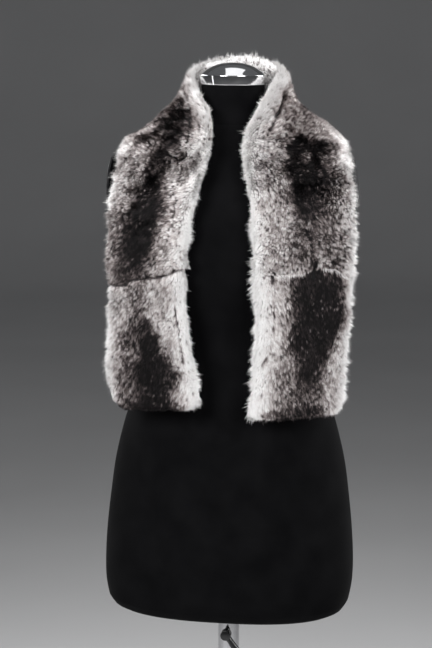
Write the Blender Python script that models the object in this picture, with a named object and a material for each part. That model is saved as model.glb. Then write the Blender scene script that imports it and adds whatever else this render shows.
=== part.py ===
"""A fur scarf of seven pelts, worn over a limbless dress form on a round-based stand.

Metres, +Z up. The form faces -Y and its pole stands on the Z axis, on the base's flat
underside at z = 0. The scarf runs from its left end (-X), over the left shoulder, round
the nape and over the right shoulder to its right end (+X).
"""

import math

import bmesh
import bpy
import numpy as np
from mathutils import Matrix, Vector

GAP = 0.0003

# Stand
BASE_RADIUS = 0.160
BASE_THICK = 0.006
BASE_EDGE = 0.002
HUB_RADIUS = 0.024
HUB_HEIGHT = 0.024
TUBE_RADIUS = 0.015
TUBE_TOP = 0.678
TUBE_BORE = 0.0132
TUBE_BORE_FLOOR = 0.320
POLE_RADIUS = 0.0125
POLE_FOOT = 0.330
POLE_TOP = 0.820

# Clamp lever on the front of the tube
LEVER_Z = 0.656
LEVER_BOSS_RADIUS = 0.0072
LEVER_BOSS_LENGTH = 0.013
LEVER_SEAT_LENGTH = 0.005
LEVER_SEAT_RADIUS = 0.0058
LEVER_LENGTH = 0.030
LEVER_ANGLE = math.radians(-53.0)

# Form
FORM_BOTTOM = 0.698
NECK_TOP = 1.4300
SOCKET_RADIUS = 0.0131
FLANGE_RADIUS = 0.036
FLANGE_THICK = 0.004
CAP_RIM_FOOT_RADIUS = 0.0445
CAP_RIM_TOP_RADIUS = 0.0468
CAP_RIM_HEIGHT = 0.0130
CAP_RIM_EDGE = 0.0010
CAP_DOME_HEIGHT = 0.0160
CAP_DOME_INSET = 0.0025
CAP_DOME_CREST = 0.0020
CAP_DOME_STEPS = 6
ARMHOLE_CENTRE = (0.1640, 0.000, 1.290)
ARMHOLE_HALF_DEPTH = 0.040
ARMHOLE_HALF_HEIGHT = 0.041
ARMHOLE_LEAN = math.radians(1.0)
ARMHOLE_PLATE = 0.004
ARMHOLE_DOME = 0.005

FORM_AROUND = 44
FORM_RINGS = 34
# Each row is a level of the form: z, half width, depth to the front, depth to the back,
# and the roundness of the section, where 2 is an ellipse and more is squarer.
FORM_LEVELS = (
    (0.698, 0.1560, 0.1010, 0.0980, 2.5),
    (0.702, 0.1640, 0.1070, 0.1040, 2.5),
    (0.712, 0.1705, 0.1130, 0.1100, 2.5),
    (0.735, 0.1745, 0.1170, 0.1150, 2.5),
    (0.765, 0.1755, 0.1180, 0.1180, 2.4),
    (0.810, 0.1730, 0.1170, 0.1180, 2.4),
    (0.860, 0.1680, 0.1120, 0.1130, 2.3),
    (0.910, 0.1610, 0.1060, 0.1030, 2.3),
    (0.960, 0.1490, 0.0990, 0.0920, 2.3),
    (1.010, 0.1340, 0.0930, 0.0820, 2.3),
    (1.050, 0.1240, 0.0900, 0.0760, 2.3),
    (1.090, 0.1230, 0.0930, 0.0760, 2.3),
    (1.130, 0.1290, 0.1020, 0.0810, 2.3),
    (1.170, 0.1390, 0.1140, 0.0880, 2.4),
    (1.210, 0.1500, 0.1205, 0.0950, 2.4),
    (1.250, 0.1610, 0.1175, 0.1000, 2.4),
    (1.285, 0.1690, 0.1080, 0.1020, 2.4),
    (1.310, 0.1650, 0.0980, 0.0980, 2.3),
    (1.328, 0.1480, 0.0890, 0.0930, 2.2),
    (1.343, 0.1210, 0.0800, 0.0860, 2.1),
    (1.356, 0.0960, 0.0710, 0.0780, 2.0),
    (1.368, 0.0720, 0.0610, 0.0670, 2.0),
    (1.380, 0.0540, 0.0510, 0.0560, 2.0),
    (1.396, 0.0450, 0.0440, 0.0465, 2.0),
    (1.415, 0.0428, 0.0420, 0.0428, 2.0),
    (1.430, 0.0430, 0.0430, 0.0430, 2.0),
)

# Scarf. Each row is a line across the strip: the inner edge, which lies next to the neck
# and the front opening, the outer edge, then how far the middle bows outwards, how deep
# the collar's crease sinks, and half the thickness of the fur.
SCARF_LINES = (
    # inner x, y, z           outer x, y, z            bow     crease  half
    (-0.022, -0.127, 1.003, -0.149, -0.104, 0.994, 0.003, 0.000, 0.0130),
    (-0.026, -0.130, 1.050, -0.153, -0.104, 1.042, 0.004, 0.000, 0.0135),
    (-0.037, -0.132, 1.118, -0.153, -0.102, 1.108, 0.004, 0.000, 0.0135),
    (-0.040, -0.134, 1.187, -0.153, -0.100, 1.177, 0.004, 0.000, 0.0135),
    (-0.034, -0.134, 1.250, -0.154, -0.095, 1.236, 0.005, 0.000, 0.0135),
    (-0.023, -0.129, 1.302, -0.152, -0.082, 1.284, 0.007, 0.002, 0.0135),
    (-0.013, -0.117, 1.344, -0.150, -0.062, 1.318, 0.010, 0.005, 0.0135),
    (-0.010, -0.098, 1.375, -0.149, -0.036, 1.338, 0.009, 0.008, 0.0135),
    (-0.021, -0.068, 1.402, -0.149, 0.000, 1.346, 0.003, 0.008, 0.0125),
    (-0.041, -0.031, 1.426, -0.144, 0.044, 1.343, 0.002, 0.007, 0.0115),
    (-0.054, 0.016, 1.446, -0.122, 0.083, 1.335, 0.003, 0.008, 0.0115),
    (-0.042, 0.062, 1.459, -0.070, 0.101, 1.328, 0.002, 0.010, 0.0120),
    (0.001, 0.084, 1.468, 0.002, 0.105, 1.325, 0.001, 0.009, 0.0120),
    (0.044, 0.064, 1.459, 0.074, 0.100, 1.328, 0.002, 0.010, 0.0120),
    (0.060, 0.018, 1.444, 0.125, 0.080, 1.333, 0.004, 0.014, 0.0125),
    (0.052, -0.028, 1.423, 0.148, 0.043, 1.343, 0.005, 0.012, 0.0125),
    (0.039, -0.065, 1.401, 0.153, 0.000, 1.344, 0.004, 0.009, 0.0130),
    (0.030, -0.095, 1.374, 0.164, -0.035, 1.333, 0.006, 0.006, 0.0135),
    (0.028, -0.114, 1.342, 0.171, -0.061, 1.309, 0.008, 0.004, 0.0135),
    (0.035, -0.126, 1.303, 0.175, -0.080, 1.280, 0.007, 0.002, 0.0135),
    (0.042, -0.131, 1.252, 0.178, -0.093, 1.236, 0.005, 0.000, 0.0135),
    (0.046, -0.133, 1.190, 0.178, -0.098, 1.183, 0.004, 0.000, 0.0135),
    (0.050, -0.132, 1.122, 0.176, -0.101, 1.121, 0.004, 0.000, 0.0135),
    (0.045, -0.131, 1.052, 0.170, -0.103, 1.055, 0.004, 0.000, 0.0135),
    (0.042, -0.130, 0.989, 0.165, -0.104, 0.998, 0.003, 0.000, 0.0130),
)
# Each row is a pelt: its name, where it starts and ends as a place in SCARF_LINES, and how
# far its inner corner flares past the strip's edge at its start and at its end.
PELTS = (
    ("pelt_left_end", 0.00, 2.86, 0.000, -0.003),
    ("pelt_left_chest", 2.86, 5.95, 0.006, 0.000),
    ("pelt_left_shoulder", 5.95, 9.75, 0.000, 0.000),
    ("pelt_nape", 9.75, 14.25, 0.000, 0.000),
    ("pelt_right_shoulder", 14.25, 18.05, 0.000, 0.000),
    ("pelt_right_chest", 18.05, 21.10, 0.000, 0.000),
    ("pelt_right_end", 21.10, 24.00, 0.003, 0.000),
)
PELT_STEP = 0.0145
# How far from a pelt's ends its extra rings stand, and where the even steps start.
SEAM_STATIONS = (0.0, 0.0035, 0.0080)
STEPS_START = 0.016
FLARE_REACH = 0.024
# The crease lies at this share of the width; the power sets how narrow it is.
CREASE_PLACE = 0.30
CREASE_POWER = 3
# The section keeps its thickness nearly to the edge, as this power is high.
EDGE_POWER = 7
# At a seam the fur thins by this share over this distance.
SEAM_REACH = 0.009
SEAM_PINCH = 0.23
# A free end rounds off over this distance, and its corners by this much across.
END_REACH = 0.014
END_THIN_LEAST = 0.22
CORNER_REACH = 0.016
CORNER_INSET_POWER = 3
# Places across the strip where the outline has points, from the inner edge (-1) to the
# outer edge (1), on the outer face and then back on the inner face.
ACROSS = (-0.985, -0.93, -0.82, -0.65, -0.45, -0.20, 0.10, 0.40, 0.65, 0.82, 0.93, 0.985)


def clear_scene():
    for thing in list(bpy.data.objects):
        bpy.data.objects.remove(thing, do_unlink=True)


def material(name, colour, roughness, metallic=0.0):
    made = bpy.data.materials.new(name)
    made.use_nodes = True
    shader = made.node_tree.nodes["Principled BSDF"]
    shader.inputs["Base Color"].default_value = (*colour, 1.0)
    shader.inputs["Roughness"].default_value = roughness
    shader.inputs["Metallic"].default_value = metallic
    made.diffuse_color = (*colour, 1.0)
    return made


def add_object(name, points, faces, finish, parent=None):
    """A smooth-shaded mesh object from world-space points."""
    mesh = bpy.data.meshes.new(name)
    mesh.from_pydata([tuple(p) for p in points], [], faces)
    mesh.shade_smooth()
    mesh.set_sharp_from_angle(angle=math.radians(35))
    mesh.materials.append(finish)
    thing = bpy.data.objects.new(name, mesh)
    bpy.context.scene.collection.objects.link(thing)
    if parent:
        thing.parent = parent
        thing.matrix_parent_inverse = parent.matrix_world.inverted()
    return thing


def axis_empty(name, place, parent=None):
    empty = bpy.data.objects.new(name, None)
    bpy.context.scene.collection.objects.link(empty)
    empty.location = place
    bpy.context.view_layer.update()
    if parent:
        empty.parent = parent
        empty.matrix_parent_inverse = parent.matrix_world.inverted()
        bpy.context.view_layer.update()
    return empty


def loft_faces(rings, around, closed=False):
    """Quads between rings of points, with a flat face on each end unless it is closed."""
    faces = []
    for ring in range(rings if closed else rings - 1):
        here = ring * around
        there = (ring + 1) % rings * around
        for i in range(around):
            j = (i + 1) % around
            faces.append((here + i, here + j, there + j, there + i))
    if not closed:
        faces.append(tuple(reversed(range(around))))
        faces.append(tuple(range((rings - 1) * around, rings * around)))
    return faces


def circle(radius, z, around):
    angles = [2 * math.pi * i / around for i in range(around)]
    return [(radius * math.cos(angle), radius * math.sin(angle), z) for angle in angles]


def turned(name, profile, finish, parent=None, around=40, closed=False):
    """A solid turned about Z, from (radius, z) rows that run from its foot to its top."""
    points = []
    for radius, z in profile:
        points.extend(circle(radius, z, around))
    return add_object(name, points, loft_faces(len(profile), around, closed), finish, parent)


def smooth_rows(rows, places):
    """The rows' values at fractional places, on a Catmull-Rom curve through them."""
    rows = np.asarray(rows, float)
    before = 2 * rows[0] - rows[1]
    after = 2 * rows[-1] - rows[-2]
    padded = np.vstack([before, rows, after])
    places = np.clip(np.asarray(places, float), 0, len(rows) - 1)
    start = np.minimum(places.astype(int), len(rows) - 2)
    t = (places - start)[:, None]
    a, b, c, d = (padded[start + k] for k in range(4))
    return 0.5 * (2 * b + (c - a) * t + (2 * a - 5 * b + 4 * c - d) * t**2 + (3 * b - a - 3 * c + d) * t**3)


def form_level(z):
    """Half width, front, back and roundness of the form at height z."""
    levels = np.array(FORM_LEVELS)
    place = np.interp(z, levels[:, 0], np.arange(len(levels)))
    return smooth_rows(levels[:, 1:], [place])[0]


def form_ring(z):
    half, front, back, roundness = form_level(z)
    points = []
    for i in range(FORM_AROUND):
        angle = 2 * math.pi * i / FORM_AROUND
        c, s = math.cos(angle), math.sin(angle)
        x = half * math.copysign(abs(c) ** (2 / roundness), c)
        y = (back if s > 0 else front) * math.copysign(abs(s) ** (2 / roundness), s)
        points.append((armhole_side(x, z), y, z))
    return points


def armhole_side(x, z):
    """x held inside the slightly leaning plane of each armhole's opening."""
    side = ARMHOLE_CENTRE[0] - (z - ARMHOLE_CENTRE[2]) * math.tan(ARMHOLE_LEAN)
    reach = abs(z - ARMHOLE_CENTRE[2]) < ARMHOLE_HALF_HEIGHT + 0.02
    return math.copysign(min(abs(x), side), x) if reach else x


def make_form(jersey, parent):
    """The padded body and neck, with the pole's socket open at the bottom."""
    socket = [circle(SOCKET_RADIUS, z, FORM_AROUND) for z in (POLE_TOP + GAP, FORM_BOTTOM)]
    heights = [row[0] for row in FORM_LEVELS]
    places = np.linspace(0, len(heights) - 1, FORM_RINGS)
    levels = np.interp(places, np.arange(len(heights)), heights)
    rings = socket + [form_ring(z) for z in levels]
    points = [p for ring in rings for p in ring]
    return add_object("form_body", points, loft_faces(len(rings), FORM_AROUND), jersey, parent)


def make_neck_cap(chrome, parent):
    foot = NECK_TOP + GAP
    rim = foot + CAP_RIM_HEIGHT
    profile = [
        (CAP_RIM_FOOT_RADIUS, foot),
        (CAP_RIM_TOP_RADIUS, rim - CAP_RIM_EDGE),
        (CAP_RIM_TOP_RADIUS - CAP_RIM_EDGE, rim),
    ]
    for step in range(1, CAP_DOME_STEPS + 1):
        angle = math.pi / 2 * step / CAP_DOME_STEPS
        radius = (CAP_RIM_TOP_RADIUS - CAP_DOME_INSET) * math.cos(angle) + CAP_DOME_CREST
        profile.append((radius, rim + CAP_DOME_HEIGHT * math.sin(angle)))
    return turned("neck_cap", profile, chrome, parent)


def make_armhole_cap(name, side, plastic, parent):
    """A shallow oval plate that closes an armhole; its outer face is slightly domed."""
    rings = ((0.96, 0.0), (1.0, 0.0012), (1.0, ARMHOLE_PLATE - 0.001), (0.965, ARMHOLE_PLATE))
    dome = [(r, ARMHOLE_PLATE + ARMHOLE_DOME * (1 - r * r)) for r in (0.78, 0.52, 0.24)]
    turn = Matrix.Rotation(-ARMHOLE_LEAN, 4, "Y")
    points = []
    around = 36
    for scale, out in rings + tuple(dome):
        for i in range(around):
            angle = 2 * math.pi * i / around
            place = turn @ Vector((out + GAP, ARMHOLE_HALF_DEPTH * scale * math.cos(angle),
                                   ARMHOLE_HALF_HEIGHT * scale * math.sin(angle)))
            place += Vector(ARMHOLE_CENTRE)
            points.append((side * place.x, place.y, place.z))
    faces = loft_faces(len(rings) + len(dome), around)
    if side < 0:
        faces = [tuple(reversed(face)) for face in faces]
    return add_object(name, points, faces, plastic, parent)


def make_flange(chrome, parent):
    """The chrome ring under the form that the pole passes through."""
    top = FORM_BOTTOM - GAP
    foot = top - FLANGE_THICK
    profile = [
        (SOCKET_RADIUS, top),
        (SOCKET_RADIUS, foot),
        (FLANGE_RADIUS - 0.0015, foot),
        (FLANGE_RADIUS, foot + 0.0015),
        (FLANGE_RADIUS, top),
    ]
    return turned("socket_flange", profile, chrome, parent, closed=True)


def make_stand(chrome, steel):
    profile = [
        (BASE_RADIUS - BASE_EDGE / 2, 0.0),
        (BASE_RADIUS, BASE_EDGE / 2),
        (BASE_RADIUS, BASE_THICK - BASE_EDGE),
        (BASE_RADIUS - BASE_EDGE, BASE_THICK),
        (TUBE_RADIUS, BASE_THICK),
    ]
    turned("base_plate", profile, steel, around=56)
    foot = BASE_THICK + GAP
    hub = [
        (TUBE_RADIUS + GAP, foot),
        (HUB_RADIUS, foot),
        (HUB_RADIUS, foot + HUB_HEIGHT - 0.004),
        (HUB_RADIUS - 0.004, foot + HUB_HEIGHT),
        (TUBE_RADIUS + GAP, foot + HUB_HEIGHT),
    ]
    turned("base_hub", hub, chrome, closed=True)
    tube = [
        (TUBE_RADIUS, foot),
        (TUBE_RADIUS, TUBE_TOP - 0.001),
        (TUBE_RADIUS - 0.001, TUBE_TOP),
        (TUBE_BORE, TUBE_TOP),
        (TUBE_BORE, TUBE_BORE_FLOOR),
    ]
    turned("outer_tube", tube, chrome)


def rod_along_y(name, radius, near, far, chamfer, finish, parent, around=24):
    """A short round pin on the lever's axis, from y = near to y = far in front of it."""
    rows = ((radius, near), (radius, far + chamfer), (radius - chamfer, far))
    points = []
    for r, y in rows:
        for i in range(around):
            angle = 2 * math.pi * i / around
            points.append((r * math.cos(angle), y, LEVER_Z + r * math.sin(angle)))
    return add_object(name, points, loft_faces(len(rows), around), finish, parent)


def make_lever(chrome, plastic):
    """The clamp's seat on the tube, and the lever whose boss and tapered arm are one piece."""
    seat_near = -TUBE_RADIUS - GAP
    seat_far = seat_near - LEVER_SEAT_LENGTH
    rod_along_y("clamp_seat", LEVER_SEAT_RADIUS, seat_near, seat_far, 0.0005, chrome, None)
    boss_near = seat_far - GAP
    boss_far = boss_near - LEVER_BOSS_LENGTH
    hinge = axis_empty("lever_axis", (0.0, boss_near, LEVER_Z))
    lever = rod_along_y("clamp_lever", LEVER_BOSS_RADIUS, boss_near, boss_far, 0.001, plastic, hinge)
    along = Vector((math.cos(LEVER_ANGLE), 0, math.sin(LEVER_ANGLE)))
    aside = Vector((-along.z, 0, along.x))
    # Each row is a station of the arm: share of its length, half width, half thickness, y.
    stations = (
        (0.04, 0.0050, 0.0032, 0.0065),
        (0.30, 0.0044, 0.0028, 0.0072),
        (0.62, 0.0048, 0.0026, 0.0088),
        (0.90, 0.0056, 0.0024, 0.0098),
        (0.985, 0.0046, 0.0018, 0.0100),
    )
    around = 16
    points = []
    for share, half_width, half_thick, forward in stations:
        centre = Vector((0, boss_near - forward, LEVER_Z)) + along * (LEVER_LENGTH * share)
        for i in range(around):
            angle = 2 * math.pi * i / around
            points.append(centre + aside * half_width * math.cos(angle) + Vector((0, half_thick * math.sin(angle), 0)))
    arm = add_object("clamp_arm_form", points, loft_faces(len(stations), around), plastic)
    bpy.context.view_layer.update()
    arm.hide_render = True
    arm.display_type = "WIRE"
    join = lever.modifiers.new("arm", "BOOLEAN")
    join.operation = "UNION"
    join.object = arm


def scarf_frame(place):
    """The strip at a place in SCARF_LINES: its edges, its outward normal, its way along,
    the bow, the crease and half the thickness."""
    step = 0.01
    row, before, after = smooth_rows(SCARF_LINES, [place, place - step, place + step])
    inner, outer = row[:3], row[3:6]
    middle_before = (before[:3] + before[3:6]) / 2
    middle_after = (after[:3] + after[3:6]) / 2
    along = middle_after - middle_before
    across = (outer - inner) / np.linalg.norm(outer - inner)
    normal = np.cross(along, across)
    normal /= np.linalg.norm(normal)
    onward = np.cross(across, normal)
    return inner, outer, normal, onward, row[6], row[7], row[8]


def crease_shape(share):
    """0 at both edges and 1 at the collar's crease, over shares of the width."""
    power = math.log(0.5) / math.log(CREASE_PLACE)
    return np.sin(math.pi * np.clip(share, 0, 1) ** power) ** CREASE_POWER


def scarf_section(place, slide=0.0, thin=1.0, shorten=0.0, flare=0.0):
    """A ring of points round the strip's section at a place, moved on by slide."""
    inner, outer, normal, onward, bow, crease, half = scarf_frame(place)
    across = outer - inner
    width = np.linalg.norm(across)
    unit = across / width
    inner = inner - unit * flare
    width = width + flare
    ring = []
    for face in (1, -1):
        for w in ACROSS[::face]:
            share = (w + 1) / 2
            lift = bow * 4 * share * (1 - share) - crease * crease_shape(share)
            edge = math.sqrt(1 - abs(w) ** EDGE_POWER)
            inset = shorten * np.sign(-w) * abs(w) ** CORNER_INSET_POWER
            centre = inner + unit * (width * share + inset) + normal * lift
            ring.append(centre + normal * (face * half * edge * thin) + onward * slide)
    return ring


def scarf_length(start, end, count=60):
    places = np.linspace(start, end, count)
    rows = smooth_rows(SCARF_LINES, places)
    middle = (rows[:, :3] + rows[:, 3:6]) / 2
    return float(np.linalg.norm(np.diff(middle, axis=0), axis=1).sum())


def pelt_rings(start, end, flare_start, flare_end, free_start, free_end):
    """The rings of a pelt. It thins a little at a seam, and rounds off at a free end."""
    length = scarf_length(start, end)
    count = round(length / PELT_STEP)
    near_end = np.array(SEAM_STATIONS)
    even = np.linspace(STEPS_START, length - STEPS_START, count)
    runs = np.concatenate([near_end, even, length - near_end[::-1]])
    rings = []
    for run in runs:
        place = start + (end - start) * run / length
        slide = 0.0
        thin = 1.0
        shorten = 0.0
        flare = 0.0
        for off_end, free, flared, way in (
            (run, free_start, flare_start, 1),
            (length - run, free_end, flare_end, -1),
        ):
            if free:
                nearness = max(0.0, 1 - off_end / END_REACH)
                thin *= max(END_THIN_LEAST, math.sqrt(1 - nearness**2))
                shorten += CORNER_REACH * (1 - math.sqrt(1 - (0.9 * nearness) ** 2))
            else:
                nearness = max(0.0, 1 - off_end / SEAM_REACH)
                thin *= 1 - SEAM_PINCH * nearness**1.5
            if not free and off_end == 0:
                slide = way * GAP / 2
            flare += flared * max(0.0, 1 - off_end / FLARE_REACH) ** 1.5
        rings.append(scarf_section(place, slide, thin, shorten, flare))
    return rings


def make_scarf(fur, parent):
    for index, (name, start, end, flare_start, flare_end) in enumerate(PELTS):
        free_start = index == 0
        free_end = index == len(PELTS) - 1
        rings = pelt_rings(start, end, flare_start, flare_end, free_start, free_end)
        points = [p for ring in rings for p in ring]
        faces = loft_faces(len(rings), len(rings[0]))
        pelt = add_object(name, points, faces, fur, parent)
        face_outwards(pelt.data)


def face_outwards(mesh):
    sheet = bmesh.new()
    sheet.from_mesh(mesh)
    bmesh.ops.recalc_face_normals(sheet, faces=sheet.faces)
    sheet.to_mesh(mesh)
    sheet.free()


def main():
    clear_scene()
    fur = material("fur", (0.55, 0.53, 0.52), 0.9)
    jersey = material("black_jersey", (0.012, 0.012, 0.013), 0.85)
    chrome = material("chrome", (0.75, 0.75, 0.76), 0.12, 1.0)
    steel = material("brushed_steel", (0.45, 0.45, 0.46), 0.3, 1.0)
    plastic = material("black_plastic", (0.01, 0.01, 0.01), 0.35)
    make_stand(chrome, steel)
    make_lever(chrome, plastic)
    slide = axis_empty("height_axis", (0, 0, TUBE_TOP))
    pole = [
        (POLE_RADIUS - 0.001, POLE_FOOT),
        (POLE_RADIUS, POLE_FOOT + 0.001),
        (POLE_RADIUS, POLE_TOP - 0.001),
        (POLE_RADIUS - 0.001, POLE_TOP),
    ]
    turned("inner_pole", pole, chrome, slide)
    swivel = axis_empty("swivel_axis", (0, 0, POLE_TOP), slide)
    make_flange(chrome, swivel)
    make_form(jersey, swivel)
    make_neck_cap(chrome, swivel)
    make_armhole_cap("armhole_cap_left", -1, plastic, swivel)
    make_armhole_cap("armhole_cap_right", 1, plastic, swivel)
    make_scarf(fur, swivel)


main()
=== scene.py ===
"""The looks of a fur scarf worn on a dress form: seven pelts with real strands of fur, a form
in black jersey, its chromed stand and a plain studio.

Metres, in the CAD part's frame: +Z up, the form faces -Y, the pole is on the Z axis. The
scarf's lines and the form's levels are the CAD part's own.
"""

import math

import bpy
import numpy as np
from mathutils import Matrix, Vector


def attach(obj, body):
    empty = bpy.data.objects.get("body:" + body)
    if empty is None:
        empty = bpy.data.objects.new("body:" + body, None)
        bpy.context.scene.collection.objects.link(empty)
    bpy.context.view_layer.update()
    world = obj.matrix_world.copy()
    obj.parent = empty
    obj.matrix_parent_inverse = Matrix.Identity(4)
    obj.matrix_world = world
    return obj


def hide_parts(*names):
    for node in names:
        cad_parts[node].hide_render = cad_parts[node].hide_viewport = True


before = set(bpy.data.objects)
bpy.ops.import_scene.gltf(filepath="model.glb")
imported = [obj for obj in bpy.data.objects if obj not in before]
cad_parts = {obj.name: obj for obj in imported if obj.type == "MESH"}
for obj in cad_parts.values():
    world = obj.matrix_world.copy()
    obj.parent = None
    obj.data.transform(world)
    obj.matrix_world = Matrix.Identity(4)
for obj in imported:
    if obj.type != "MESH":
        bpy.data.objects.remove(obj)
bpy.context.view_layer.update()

# Camera: the photograph's own viewing angle, a little to the form's left and above it.
CAMERA_PLACE = Vector((0.37015, -2.47254, 1.52))
CAMERA_YAW = math.radians(9.0)
CAMERA_PITCH = math.radians(9.57)
CAMERA_ROLL = math.radians(0.38)
CAMERA_LENS = 101.1

# Studio: the flat floor, the curve up from it and the wall.
FLOOR_RADIUS = 7.5
COVE_RADIUS = 3.0
WALL_TOP = 9.0
WORLD_STRENGTH = 0.12
# Soft boxes: name, place, the height that they aim at, width and height, and power.
LIGHTS = (
    ("key", (-1.1, -2.3, 2.3), 1.2, (1.1, 1.1), 84),
    ("fill", (1.5, -2.1, 2.0), 1.2, (1.2, 1.1), 50),
    ("rim_left", (-1.25, 0.6, 1.9), 1.2, (0.5, 1.1), 24),
    ("rim_right", (1.25, 0.6, 1.9), 1.2, (0.5, 1.1), 34),
    ("window", (-0.03, 0.52, 2.8), 1.4, (0.64, 0.7), 1.6),
    ("top", (0.0, -0.25, 3.05), 1.4, (1.5, 0.8), 12),
)
# Upright strips of light for the stand: name, degrees round from the front, and width.
STRIPS = (("strip_left", -66, 0.1), ("strip_back_left", -142, 0.14), ("strip_back_right", 150, 0.14))
STRIP_AWAY = 1.5
STRIP_HEIGHT = 0.9
STRIP_MIDDLE = 1.0
STRIP_POWER = 6

# Stand and fittings, as in the CAD part.
GAP = 0.0003
BASE_RADIUS = 0.16
BASE_THICK = 0.006
HUB_RADIUS = 0.024
HUB_HEIGHT = 0.024
TUBE_RADIUS = 0.015
TUBE_TOP = 0.678
TUBE_BORE = 0.0132
TUBE_BORE_FLOOR = 0.32
POLE_RADIUS = 0.0125
POLE_FOOT = 0.33
POLE_TOP = 0.82
LEVER_Z = 0.656
LEVER_BOSS_RADIUS = 0.0072
LEVER_BOSS_LENGTH = 0.013
LEVER_SEAT_LENGTH = 0.005
LEVER_SEAT_RADIUS = 0.0058
LEVER_LENGTH = 0.03
LEVER_ANGLE = math.radians(-53.0)
# The lever's arm: share of its length, half width, half thickness and how far forward it is.
LEVER_STATIONS = (
    (0.04, 0.005, 0.0032, 0.0065),
    (0.3, 0.0044, 0.0028, 0.0072),
    (0.62, 0.0048, 0.0026, 0.0088),
    (0.9, 0.0056, 0.0024, 0.0098),
    (0.985, 0.0046, 0.0018, 0.01),
)
FORM_BOTTOM = 0.698
NECK_TOP = 1.43
SOCKET_RADIUS = 0.0131
FLANGE_RADIUS = 0.036
FLANGE_THICK = 0.004
CAP_RIM_FOOT_RADIUS = 0.0445
CAP_RIM_TOP_RADIUS = 0.0468
CAP_RIM_HEIGHT = 0.013
CAP_DOME_HEIGHT = 0.016
ARMHOLE_CENTRE = Vector((0.164, 0.0, 1.29))
ARMHOLE_HALF_DEPTH = 0.04
ARMHOLE_HALF_HEIGHT = 0.041
ARMHOLE_LEAN = math.radians(1.0)
ARMHOLE_PLATE = 0.004
ARMHOLE_DOME = 0.005

# Each row is a level of the form: z, half width, depth to the front, depth to the back,
# and the roundness of the section, where 2 is an ellipse and more is squarer.
FORM_LEVELS = (
    (0.698, 0.156, 0.101, 0.098, 2.5),
    (0.702, 0.164, 0.107, 0.104, 2.5),
    (0.712, 0.1705, 0.113, 0.11, 2.5),
    (0.735, 0.1745, 0.117, 0.115, 2.5),
    (0.765, 0.1755, 0.118, 0.118, 2.4),
    (0.81, 0.173, 0.117, 0.118, 2.4),
    (0.86, 0.168, 0.112, 0.113, 2.3),
    (0.91, 0.161, 0.106, 0.103, 2.3),
    (0.96, 0.149, 0.099, 0.092, 2.3),
    (1.01, 0.134, 0.093, 0.082, 2.3),
    (1.05, 0.124, 0.09, 0.076, 2.3),
    (1.09, 0.123, 0.093, 0.076, 2.3),
    (1.13, 0.129, 0.102, 0.081, 2.3),
    (1.17, 0.139, 0.114, 0.088, 2.4),
    (1.21, 0.15, 0.1205, 0.095, 2.4),
    (1.25, 0.161, 0.1175, 0.1, 2.4),
    (1.285, 0.169, 0.108, 0.102, 2.4),
    (1.31, 0.165, 0.098, 0.098, 2.3),
    (1.328, 0.148, 0.089, 0.093, 2.2),
    (1.343, 0.121, 0.08, 0.086, 2.1),
    (1.356, 0.096, 0.071, 0.078, 2.0),
    (1.368, 0.072, 0.061, 0.067, 2.0),
    (1.38, 0.054, 0.051, 0.056, 2.0),
    (1.396, 0.045, 0.044, 0.0465, 2.0),
    (1.415, 0.0428, 0.042, 0.0428, 2.0),
    (1.43, 0.043, 0.043, 0.043, 2.0),
)
FORM_AROUND = 144
FORM_RINGS = 150
NECK_SEAM_Z = 1.378
NECK_SEAM_DEPTH = 0.0009
NECK_SEAM_HALF = 0.001

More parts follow.
